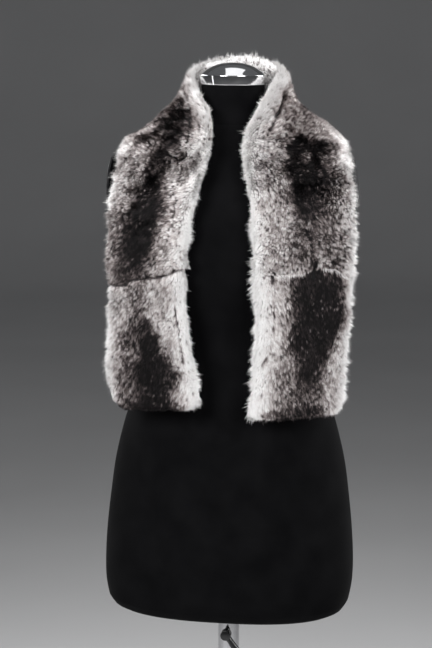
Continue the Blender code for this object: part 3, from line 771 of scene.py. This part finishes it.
class Fur:
    """The fur's outline at points of one pelt: where it is, which way it faces, its tone."""

    def __init__(self, pelt, run, around, cap):
        self.pelt = pelt
        start, end, flare_start, flare_end = pelt[1:5]
        first, last = np.interp([start, end], RUN_PLACES, RUNS)
        length = last - first
        w, h = on_outline(around)
        self.front = h >= 0
        self.side = np.clip(3 * h, -1, 1)
        self.edge = soft_step((np.abs(w) - EDGE_START) / (1 - EDGE_START))
        self.share = share = (w + 1) / 2
        near_start = np.clip(1 - run / SEAM_FALLOFF, 0, 1)
        near_end = np.clip(1 - (length - run) / SEAM_FALLOFF, 0, 1)
        shift = edge_shift(start, share) * near_start + edge_shift(end, share) * near_end
        self.along = first + run + shift
        self.strip = strip = Strip(np.interp(self.along, RUNS, RUN_PLACES))
        thin = np.ones(len(run))
        flare = np.zeros(len(run))
        for off_end, place, flared in ((run, start, flare_start), (length - run, end, flare_end)):
            if place in HEMS:
                near = np.clip(1 - off_end / END_RADIUS, 0, 1)
                thin *= np.sqrt(np.clip(1 - near**2, 0, 1))
            else:
                near = np.clip(1 - off_end / SEAM_REACH, 0, 1)
                thin *= 1 - SEAM_PINCH * SEAMS[place][0] * near**1.5
            flare += flared * np.clip(1 - off_end / FLARE_REACH, 0, 1) ** 1.5
        self.thin = thin
        lift = strip.bow * 4 * share * (1 - share) - strip.crease * crease_shape(share)
        across = (strip.width + flare) * share - flare
        spine = strip.inner + strip.across * across[:, None] + strip.normal * lift[:, None]
        slope_w = EDGE_POWER * np.abs(w) ** (EDGE_POWER - 1) * np.sign(w) / (strip.width / 2)
        slope_h = 2 * h / strip.half
        facing = unit_rows(strip.across * slope_w[:, None] + strip.normal * slope_h[:, None])
        out = np.where(run < length / 2, -1.0, 1.0)[:, None] * strip.onward
        self.facing = facing * np.cos(cap)[:, None] + out * np.sin(cap)[:, None]
        self.aside = share * strip.width
        self.sink = np.zeros(len(run))
        self.lean = np.zeros((len(run), 2))
        self.tone = self.plain_tone()
        self.add_strokes()
        self.add_pits(around)
        self.add_furrows(run, length)
        level = strip.normal * (strip.half * h * thin)[:, None]
        self.point = spine + level - self.facing * self.sink[:, None]

    def plain_tone(self):
        """White at both edges and greyer between them."""
        white_in, white_out, front_tone, back_tone = self.pelt[6:10]
        off_side = self.strip.width - self.aside
        front = front_tone * soft_step(self.aside / white_in) * soft_step(off_side / white_out)
        start, blend, white_far = BACK_WHITE
        back = back_tone * soft_step((self.aside - start) / blend) * soft_step(off_side / white_far)
        return np.where(self.front, front, back) + LEAST_TONE

    def wander(self, size, seed):
        return ripple(self.along, self.aside, size, seed)

    def wandered(self, ripples, seed):
        """The points on the flat strip, moved about by ripples of an amount and a size."""
        moved = []
        for at in (self.along, self.aside):
            for amount, size in ripples:
                at = at + amount * self.wander(size, seed)
                seed += 1
            moved.append(at)
        return moved

    def add_strokes(self):
        """Darkens the tone along the strokes, and makes it paler in the spots. The strokes across the hems
        are painted shade; of the spots, the tuft by the right chest's furrow is a painted highlight and the
        darker one in the right collar's crease is painted shade.
        """
        dark = np.zeros(len(self.along))
        u, v = self.wandered(STROKE_WANDER, 11)
        ragged = STROKE_RAGGED[0] * self.wander(STROKE_RAGGED[1], 17)
        start, end = self.pelt[1:3]
        strokes = [stroke for low, high, group in STROKES if low <= start and end <= high for stroke in group]
        for place_a, share_a, half_a, place_b, share_b, half_b, strength in strokes:
            t, off_u, off_v = off_segment(u, v, flat_place(place_a, share_a), flat_place(place_b, share_b))
            away = np.hypot(off_u, off_v) + ragged
            half = half_a + (half_b - half_a) * t
            value = strength * soft_step((1.6 - away / half) / 1.2)
            dark = 1 - (1 - dark) * (1 - value * self.front)
        self.tone += (STROKE_TONE - self.tone) * dark
        for place, share, radius, paler, taller in SPOTS:
            at_u, at_v = flat_place(place, share)
            near = np.exp(-((u - at_u) ** 2 + (v - at_v) ** 2) / radius**2)
            self.tone -= self.tone * paler * near * self.front
            self.sink -= taller * near * np.where(self.front, 1.0, self.edge)

    def add_pits(self, around):
        """Small partings that show the dark underfur in pale fur, and pale flecks in dark fur."""
        way_u, way_v, own = clumps(self.along / CLUMP_STRETCH, around * AROUND_WIDTH, PIT_SPACING, 81)
        ruffle, pits_from = self.pelt[10:12]
        often = ruffle * (0.36 + 0.55 * self.wander(0.021, 82))
        place, spread, most = NAPE_FLECKS
        from_flecks = (self.along - flat_place(place, 0)[0]) / spread
        on_front = often * soft_step(self.aside / pits_from)
        chance = np.where(self.front, on_front, most * np.exp(-(from_flecks**2)))
        chance = np.maximum(chance, often * self.edge * EDGE_PITS / pits_from)
        near = np.exp(-(way_u**2 + way_v**2) / PIT_RADIUS**2) * ((own + 1) / 2 < chance)
        pale = soft_step((0.68 - self.tone) / 0.2)
        self.sink += PIT_DEPTH * near * pale
        self.tone += near * (PIT_DARKER * pale - FLECK_PALER * (1 - pale))

    def add_furrows(self, run, length):
        """Sinks the fur along the furrows and seams, tints it there, dark as painted shade and pale along
        light ridges, and leans it away from them.
        """
        u, v = self.wandered(FURROW_WANDER, 15)
        for line, half, deep, lean, tint, broken in FURROWS:
            points = [flat_place(*p) for p in line]
            away, side = near_line(points, u, v)
            whole = np.clip(1 - broken * (0.6 + 1.6 * self.wander(0.009, 18)), 0, 1)
            du, dv = points[-1][0] - points[0][0], points[-1][1] - points[0][1]
            size = math.hypot(du, dv)
            aim = (-dv / size, du / size)
            self.furrow(away / half, side * lean * whole, aim, deep * whole, tint * whole)
        for place, half, deep, lean, tints in SEAM_LINES:
            if place not in self.pelt[1:3]:
                continue
            at_start = place == self.pelt[1]
            away = run if at_start else length - run
            tint = np.interp(self.share, *zip(*tints))
            shown = np.abs(tint) ** 0.5
            side = 1.0 if at_start else -1.0
            shown *= np.where(tint < 0, LIGHT_RIDGE, 1.0)
            self.furrow(away / half, side * lean * shown, (1.0, 0.0), deep * shown, tint)

    def furrow(self, away, lean, aim, deep, tint):
        """Sinks, leans and tints the fur by how far it is from a line, in half widths; a dark tint is painted
        shade in the dip.
        """
        near = np.exp(-(away**2)) * self.front
        push = lean * np.exp(-away / 1.6) * self.front
        self.sink += deep * near
        self.lean[:, 0] += push * aim[0]
        self.lean[:, 1] += push * aim[1]
        # a tint above 0 darkens the fur as painted shade; below 0 it pales it to a light ridge
        goal = np.where(tint > 0, FURROW_SHADE_TONE, LEAST_TONE)
        self.tone += (goal - self.tone) * np.abs(tint) * near


def make_skin(pelt, finish):
    """The underfur of a pelt: a tube of short dense wool that the strands stand up from."""
    name, start, end = pelt[:3]
    first, last = np.interp([start, end], RUN_PLACES, RUNS)
    rings, around_count = 58, 88
    short_start, short_end = (0.004 if place in HEMS else 0.0002 for place in (start, end))
    runs = np.linspace(short_start, last - first - short_end, rings)
    rounds = np.arange(around_count) / around_count
    run, around = (x.ravel() for x in np.meshgrid(runs, rounds, indexing="ij"))
    fur = Fur(pelt, run, around, np.zeros(len(run)))
    depth = SKIN_DEPTH * fur.thin + 0.001 * ripple(fur.along, around * AROUND_WIDTH, 0.008, 21)
    points = fur.point - fur.facing * depth[:, None] + fur.facing * (0.5 * fur.sink)[:, None]
    mesh = bpy.data.meshes.new(name + "_skin")
    mesh.from_pydata(points.tolist(), [], loft_faces(rings, around_count, capped=False))
    mesh.shade_smooth()
    tone = mesh.attributes.new("tone", "FLOAT", "POINT")
    tone.data.foreach_set("value", np.clip(fur.tone + 0.05, 0, 1).astype(np.float32))
    return new_object(name + "_skin", mesh, finish)


def strand_places(pelt, count, rng):
    """Evenly scattered runs, places round the section, and how far each lies over the hem."""
    start, end = pelt[1:3]
    back_share = pelt[-1]
    first, last = np.interp([start, end], RUN_PLACES, RUNS)
    length = last - first
    number = np.arange(count)
    a, b = ((0.5 + number * step) % 1.0 for step in EVEN_STEPS)
    a = (a + rng.normal(0, 0.002, count)) % 1.0
    b = (b + rng.normal(0, 0.002, count)) % 1.0
    arc = END_RADIUS * math.pi / 2
    over_start, over_end = (arc if place in HEMS else 0.0 for place in (start, end))
    flat = length - END_RADIUS * ((start in HEMS) + (end in HEMS))
    total = over_start + flat + over_end
    travelled = a * total
    cap = np.zeros(count)
    run = travelled - over_start + (END_RADIUS if start in HEMS else 0.0)
    for place, over in ((start, arc - travelled), (end, travelled - (total - arc))):
        if place not in HEMS:
            continue
        angle = over / arc * math.pi / 2
        tucked = END_RADIUS * (1 - np.sin(angle))
        cap = np.where(over > 0, angle, cap)
        run = np.where(over > 0, tucked if place == start else length - tucked, run)
    over_back = b - (1 - back_share)
    front = b / (1 - back_share) * FRONT_ROUND
    back = FRONT_ROUND + over_back / back_share * (1 - FRONT_ROUND)
    around = (np.where(over_back < 0, front, back) - FRONT_BEFORE) % 1.0
    return np.clip(run, 0, length), around, np.clip(cap, 0, math.pi / 2)


def combed(fur, pelt, cap, u, v, clump, rng):
    """How far each strand's tip lies from straight out, by comb, locks and clumps."""
    ruffle, comb = pelt[10], pelt[12]
    place = np.interp(fur.along, RUNS, RUN_PLACES)
    down = np.clip((place - COMB_MIDDLE) / COMB_TURN, -1, 1)
    along = comb * down * (1 - 0.75 * np.sin(cap))
    aside = (-0.5 * comb * (1 - np.abs(down)) + fur.lean[:, 1]) * fur.side
    for size, amount, seed in LOCKS:
        along += amount * ruffle * ripple(u, v, size, seed)
        aside += amount * ruffle * ripple(u, v, size, seed + 1)
    way_u, way_v = clump[:2]
    pull = np.clip(0.38 + 0.42 * ripple(u, v, 0.014, 53), 0.05, 0.8) * (0.35 + 0.65 * ruffle)
    along += fur.lean[:, 0] + pull * way_u * CLUMP_STRETCH + rng.normal(0, LEAN_SCATTER, len(u))
    aside += pull * way_v + rng.normal(0, LEAN_SCATTER, len(u))
    tangent = unit_rows(np.cross(fur.strip.onward, fur.facing))
    shift = fur.strip.onward * along[:, None] - tangent * aside[:, None]
    return shift - fur.facing * (shift * fur.facing).sum(1)[:, None]


def pile_height(fur, u, v, own, rng):
    """How far each strand's tip stands past the pelt's outline."""
    count = len(u)
    tall = np.full(count, 0.0002)
    for size, high, more, seed in WAVES:
        tall += (high + more * fur.edge) * ripple(u, v, size, seed)
    tall += (CLUMP_HEIGHT + CLUMP_HEIGHT_AT_EDGE * fur.edge) * own + rng.normal(0, HEIGHT_SCATTER, count)
    tall = np.where(fur.front, tall, np.minimum(tall, 0.0) - 0.0006)
    stray = (rng.random(count) < STRAY_SHARE + STRAY_SHARE_AT_EDGE * fur.edge) * fur.front
    return tall + stray * rng.uniform(*STRAY_HEIGHTS, count) * (1 + 0.7 * fur.edge)


def strand_mesh(name, points, normals, tone):
    """One triangle for each strand, with its tone, the way up it and a place for its colour."""
    count = len(points)
    mesh = bpy.data.meshes.new(name)
    mesh.vertices.add(count * 3)
    mesh.vertices.foreach_set("co", points.ravel())
    mesh.loops.add(count * 3)
    mesh.loops.foreach_set("vertex_index", np.arange(count * 3, dtype=np.int32))
    mesh.polygons.add(count)
    mesh.polygons.foreach_set("loop_start", np.arange(0, count * 3, 3, dtype=np.int32))
    mesh.update()
    mesh.shade_smooth()
    for key, values in (("tone", np.repeat(tone, 3)), ("up", np.tile([0.0, 0.0, 1.0], count))):
        layer = mesh.attributes.new(key, "FLOAT", "POINT")
        layer.data.foreach_set("value", values.astype(np.float32))
    mesh.normals_split_custom_set_from_vertices(normals)
    margin, half = 0.02, 0.0012
    uv = np.empty((count, 3, 2), np.float32)
    uv[:, :, 0] = (margin + (1 - 2 * margin) * tone)[:, None] + np.array([-half, half, 0.0])
    uv[:, :, 1] = (margin, margin, 1 - margin)
    mesh.uv_layers.new(name="OFBake").uv.foreach_set("vector", uv.ravel())
    return mesh


def make_fur(pelt, finish, seed):
    """The strands of a pelt: one slim triangle each, joined in one mesh."""
    name = pelt[0] + "_fur"
    rng = np.random.default_rng(seed)
    run, around, cap = strand_places(pelt, STRANDS, rng)
    fur = Fur(pelt, run, around, cap)
    count = len(run)
    u, v = fur.along, around * AROUND_WIDTH
    clump = clumps(u / CLUMP_STRETCH, v, CLUMP_SIZE, 51)
    own = clump[2]
    shift = combed(fur, pelt, cap, u, v, clump, rng)
    tall = pile_height(fur, u, v, own, rng)
    depth = ROOT_DEPTH * (0.35 + 0.65 * fur.thin)
    root = fur.point - fur.facing * depth[:, None] - shift * 0.12
    tip = fur.point + fur.facing * tall[:, None] + shift
    way = unit_rows(tip - root)
    flat = unit_rows(np.cross(way, fur.facing) + 1e-6)
    rise = np.cross(flat, way)
    twist = rng.uniform(-1.0, 1.0, count)
    side = flat * np.cos(twist)[:, None] + rise * np.sin(twist)[:, None]
    half = STRAND_HALF_WIDTH * rng.uniform(0.7, 1.3, count)
    face_normal = np.cross(side, way)
    outwards = np.where((face_normal * fur.facing).sum(1) < 0, -1.0, 1.0)[:, None]
    face_normal *= outwards
    reach = side * half[:, None] * outwards
    points = np.stack([root - reach, root + reach, tip], 1).astype(np.float32)
    mix = np.clip(fur.tone, 0, 1)
    spread = 0.012 + 0.17 * np.sin(math.pi * mix) + 0.05 * mix
    mottled = 0.7 * rng.normal(0, 1, count) + 1.2 * own + 0.5 * ripple(u, v, 0.016, 72)
    tone = np.clip(mix + spread * mottled, 0.0, 1.0)
    soft = unit_rows(fur.facing * 0.62 + face_normal * 0.38)
    at_tip = unit_rows(fur.facing * 0.55 + face_normal * 0.25 + way * 0.2)
    normals = np.stack([soft, soft, at_tip], 1).reshape(-1, 3)
    return new_object(name, strand_mesh(name, points, normals, tone), finish)


def make_scarf():
    strands = fur_material("fur_strands", underfur=False)
    wool = fur_material("underfur", underfur=True)
    for index, pelt in enumerate(PELTS):
        name, cut = pelt[0], pelt[5]
        skin = place_piece(make_skin(pelt, wool), "torso", "fur", name)
        fur = place_piece(make_fur(pelt, strands, 100 + index), "torso", "fur")


# Form and stand


def form_level(z):
    levels = np.array(FORM_LEVELS)
    place = np.interp(z, levels[:, 0], np.arange(len(levels)))
    return smooth_rows(levels[:, 1:], [place])[0]


def armhole_side(x, z):
    side = ARMHOLE_CENTRE.x - (z - ARMHOLE_CENTRE.z) * math.tan(ARMHOLE_LEAN)
    reach = abs(z - ARMHOLE_CENTRE.z) < ARMHOLE_HALF_HEIGHT + 0.02
    return math.copysign(min(abs(x), side), x) if reach else x


def make_form(jersey):
    """The padded body and neck, with a sunk seam round the foot of the neck."""
    heights = [row[0] for row in FORM_LEVELS]
    places = np.linspace(0, len(heights) - 1, FORM_RINGS)
    levels = list(np.interp(places, np.arange(len(heights)), heights))
    levels += [NECK_SEAM_Z + d * NECK_SEAM_HALF for d in (-2.2, -1, 0, 1, 2.2)]
    socket = (
        (SOCKET_RADIUS, POLE_TOP + GAP),
        (SOCKET_RADIUS, FORM_BOTTOM + 0.001),
        (SOCKET_RADIUS + 0.001, FORM_BOTTOM),
    )
    points = turned_points(socket, FORM_AROUND)
    for z in sorted(levels):
        half, front, back, roundness = form_level(z)
        sunk = NECK_SEAM_DEPTH * math.exp(-(((z - NECK_SEAM_Z) / NECK_SEAM_HALF) ** 2))
        for c, s in circle(FORM_AROUND):
            x = (half - sunk) * math.copysign(abs(c) ** (2 / roundness), c)
            depth = (back if s > 0 else front) - sunk
            points.append((armhole_side(x, z), depth * math.copysign(abs(s) ** (2 / roundness), s), z))
    mesh = mesh_of("form_cover", points, loft_faces(len(socket) + len(levels), FORM_AROUND))
    mesh.set_sharp_from_angle(angle=math.radians(60))
    form = place_piece(new_object("form_cover", mesh, jersey), "torso", "jersey", "form_body")


def make_neck_cap(chrome):
    foot = NECK_TOP + GAP
    rim = foot + CAP_RIM_HEIGHT
    profile = [
        (CAP_RIM_FOOT_RADIUS, foot, 0),
        (CAP_RIM_FOOT_RADIUS + 0.0002, foot + 0.0006, 0.0003),
        (CAP_RIM_TOP_RADIUS, rim - 0.0002, 0.0009),
        (CAP_RIM_TOP_RADIUS - 0.0022, rim, 0.0004),
    ]
    for step in range(1, 15):
        share = 1 - step / 14
        radius = (CAP_RIM_TOP_RADIUS - 0.0024) * share + 0.0002
        profile.append((radius, rim + CAP_DOME_HEIGHT * (1 - share**2.4), 0))
    place_piece(turned("neck_cap_chrome", profile, chrome, 128), "torso", "chrome", "neck_cap")


def make_armhole_cap(name, side, plastic):
    """A shallow oval plate with a rounded rim, a step inside it and a gently domed face."""
    plate = ARMHOLE_PLATE
    rings = [
        (0.965, 0.0), (0.992, 0.0006), (1.0, 0.0016), (1.0, plate - 0.0012), (0.993, plate - 0.0003),
        (0.98, plate), (0.93, plate), (0.92, plate - 0.0005), (0.905, plate),
    ]
    for r in (0.8, 0.66, 0.5, 0.34, 0.18, 0.05):
        rings.append((r, plate + ARMHOLE_DOME * (1 - r * r)))
    turn = Matrix.Rotation(-ARMHOLE_LEAN, 4, "Y")
    around = 96
    points = []
    for scale, out in rings:
        for c, s in circle(around):
            offset = Vector((out + GAP, ARMHOLE_HALF_DEPTH * scale * c, ARMHOLE_HALF_HEIGHT * scale * s))
            place = turn @ offset + ARMHOLE_CENTRE
            points.append((side * place.x, place.y, place.z))
    faces = loft_faces(len(rings), around)
    if side < 0:
        faces = [tuple(reversed(face)) for face in faces]
    mesh = mesh_of(name + "_plate", points, faces)
    mesh.set_sharp_from_angle(angle=math.radians(50))
    place_piece(new_object(name + "_plate", mesh, plastic), "torso", "black_plastic", name)


def make_stand(chrome, steel):
    foot = BASE_THICK + GAP
    base = [(BASE_RADIUS - 0.001, 0.0, 0), (BASE_RADIUS, 0.0008, 0.0005),
            (BASE_RADIUS, BASE_THICK - 0.0004, 0.0016), (BASE_RADIUS - 0.004, BASE_THICK, 0.001),
            (TUBE_RADIUS, BASE_THICK, 0)]
    place_piece(turned("base_disc", base, steel, 160), "stand", "base_steel", "base_plate")
    inside = TUBE_RADIUS + GAP
    hub = [(inside, foot, 0), (HUB_RADIUS, foot, 0.0006), (HUB_RADIUS, foot + HUB_HEIGHT, 0.0045),
           (inside, foot + HUB_HEIGHT, 0)]
    place_piece(turned("base_collar", hub, chrome, closed=True), "stand", "chrome", "base_hub")
    tube = [(TUBE_RADIUS, foot, 0), (TUBE_RADIUS, TUBE_TOP, 0.0008), (TUBE_BORE, TUBE_TOP, 0.0003),
            (TUBE_BORE, TUBE_BORE_FLOOR, 0)]
    place_piece(turned("outer_tube_chrome", tube, chrome), "stand", "chrome", "outer_tube")
    pole = [(POLE_RADIUS - 0.001, POLE_FOOT, 0), (POLE_RADIUS, POLE_FOOT + 0.0005, 0.0005),
            (POLE_RADIUS, POLE_TOP - 0.0005, 0.0005), (POLE_RADIUS - 0.001, POLE_TOP, 0)]
    place_piece(turned("inner_pole_chrome", pole, chrome), "pole", "chrome", "inner_pole")
    top = FORM_BOTTOM - GAP
    flange = [(SOCKET_RADIUS, top, 0), (SOCKET_RADIUS, top - FLANGE_THICK, 0.0004),
              (FLANGE_RADIUS, top - FLANGE_THICK, 0.0018), (FLANGE_RADIUS, top, 0.0003)]
    place_piece(turned("socket_ring", flange, chrome, closed=True), "torso", "chrome", "socket_flange")


def rod_along_y(name, radius, near, far, finish, around=48):
    chamfer = 0.0008
    rows = ((radius, near), (radius, far + chamfer), (radius - 0.3 * chamfer, far + 0.3 * chamfer),
            (radius - chamfer, far))
    points = [(r * c, y, LEVER_Z + r * s) for r, y in rows for c, s in circle(around)]
    mesh = mesh_of(name, points, loft_faces(len(rows), around))
    mesh.set_sharp_from_angle(angle=math.radians(50))
    return new_object(name, mesh, finish)


def make_lever(chrome, plastic):
    """The clamp's threaded seat, and the lever with its boss, joined as one piece."""
    seat_near = -TUBE_RADIUS - GAP
    seat_far = seat_near - LEVER_SEAT_LENGTH
    seat = rod_along_y("clamp_boss", LEVER_SEAT_RADIUS, seat_near, seat_far, chrome)
    place_piece(seat, "stand", "chrome", "clamp_seat")
    boss_near = seat_far - GAP
    lever = rod_along_y("clamp_handle", LEVER_BOSS_RADIUS, boss_near, boss_near - LEVER_BOSS_LENGTH, plastic)
    along = Vector((math.cos(LEVER_ANGLE), 0, math.sin(LEVER_ANGLE)))
    aside = Vector((-along.z, 0, along.x))
    rows = smooth_rows(LEVER_STATIONS, np.linspace(0, len(LEVER_STATIONS) - 1, 28))
    around = 32
    points = []
    for share, half_width, half_thick, forward in rows.tolist():
        centre = Vector((0, boss_near - forward, LEVER_Z)) + along * (LEVER_LENGTH * share)
        for c, s in circle(around):
            points.append(centre + aside * half_width * c + Vector((0, half_thick * s, 0)))
    arm = new_object("clamp_arm", mesh_of("clamp_arm", points, loft_faces(len(rows), around)), plastic)
    join = lever.modifiers.new("arm", "BOOLEAN")
    join.operation = "UNION"
    join.object = arm
    bpy.context.view_layer.update()
    solid = bpy.data.meshes.new_from_object(lever.evaluated_get(bpy.context.evaluated_depsgraph_get()))
    lever.modifiers.clear()
    lever.data = solid
    bpy.data.objects.remove(arm)
    solid.shade_smooth()
    solid.set_sharp_from_angle(angle=math.radians(40))
    place_piece(lever, "lever", "black_plastic", "clamp_lever")


# Studio


def make_camera():
    data = bpy.data.cameras.new("camera")
    data.lens = CAMERA_LENS
    data.sensor_width = 36
    camera = bpy.data.objects.new("camera", data)
    bpy.context.scene.collection.objects.link(camera)
    turn = Matrix.Rotation(CAMERA_YAW, 4, "Z") @ Matrix.Rotation(math.pi / 2 - CAMERA_PITCH, 4, "X")
    camera.matrix_world = Matrix.Translation(CAMERA_PLACE) @ turn @ Matrix.Rotation(CAMERA_ROLL, 4, "Z")
    bpy.context.scene.camera = camera


def make_light(name, place, aim, size, power):
    data = bpy.data.lights.new(name, "AREA")
    data.shape = "RECTANGLE"
    data.size, data.size_y = size
    data.energy = power
    lamp = bpy.data.objects.new(name, data)
    bpy.context.scene.collection.objects.link(lamp)
    lamp.location = place
    lamp.rotation_euler = (Vector(aim) - Vector(place)).to_track_quat("-Z", "Y").to_euler()
    lamp.visible_camera = False


def make_studio():
    """A pale floor that curves up into a wall all round, and soft boxes round the object."""
    made, shader = new_material("studio_floor", 0.9)
    cloud = add_node(made, "TexNoise", Scale=1.5)
    colour_by(made, shader, cloud, ((0.3, (0.5, 0.5, 0.505)), (0.7, (0.53, 0.53, 0.535))))
    rows = [(0.3, 0.0), (3.0, 0.0), (FLOOR_RADIUS - 0.4, 0.0), (FLOOR_RADIUS, 0.0)]
    for step in range(1, 17):
        angle = math.pi / 2 * step / 16
        rows.append((FLOOR_RADIUS + COVE_RADIUS * math.sin(angle), COVE_RADIUS * (1 - math.cos(angle))))
    rows.append((FLOOR_RADIUS + COVE_RADIUS, WALL_TOP))
    around = 96
    faces = loft_faces(len(rows), around, capped=False)
    faces.append(tuple(reversed(range(around))))
    floor = new_object("studio_floor", mesh_of("studio_floor", turned_points(rows, around), faces), made)
    floor.location.z = -0.0005
    for name, place, aim, size, power in LIGHTS:
        make_light(name, place, (0, 0, aim), size, power)
    for name, azimuth, width in STRIPS:
        turn = math.radians(azimuth)
        place = (STRIP_AWAY * math.sin(turn), -STRIP_AWAY * math.cos(turn), STRIP_MIDDLE)
        make_light(name, place, (0, 0, STRIP_MIDDLE), (width, STRIP_HEIGHT), STRIP_POWER * width)
    world = bpy.data.worlds.new("studio")
    world.use_nodes = True
    sky = world.node_tree.nodes["Background"]
    set_inputs(sky, Color=(0.95, 0.97, 1.0, 1), Strength=WORLD_STRENGTH)
    bpy.context.scene.world = world
    bpy.context.scene.view_settings.view_transform = "Standard"


make_camera()
chrome = chrome_material()
matt_plastic = plastic_material("matt_plastic", 0.42, 0.07)
plastic = plastic_material("black_plastic", 0.28, 0.5)
make_form(jersey_material())
make_neck_cap(chrome)
make_armhole_cap("armhole_cap_left", -1, matt_plastic)
make_armhole_cap("armhole_cap_right", 1, matt_plastic)
make_stand(chrome, steel_material())
make_lever(chrome, plastic)
make_scarf()
make_studio()
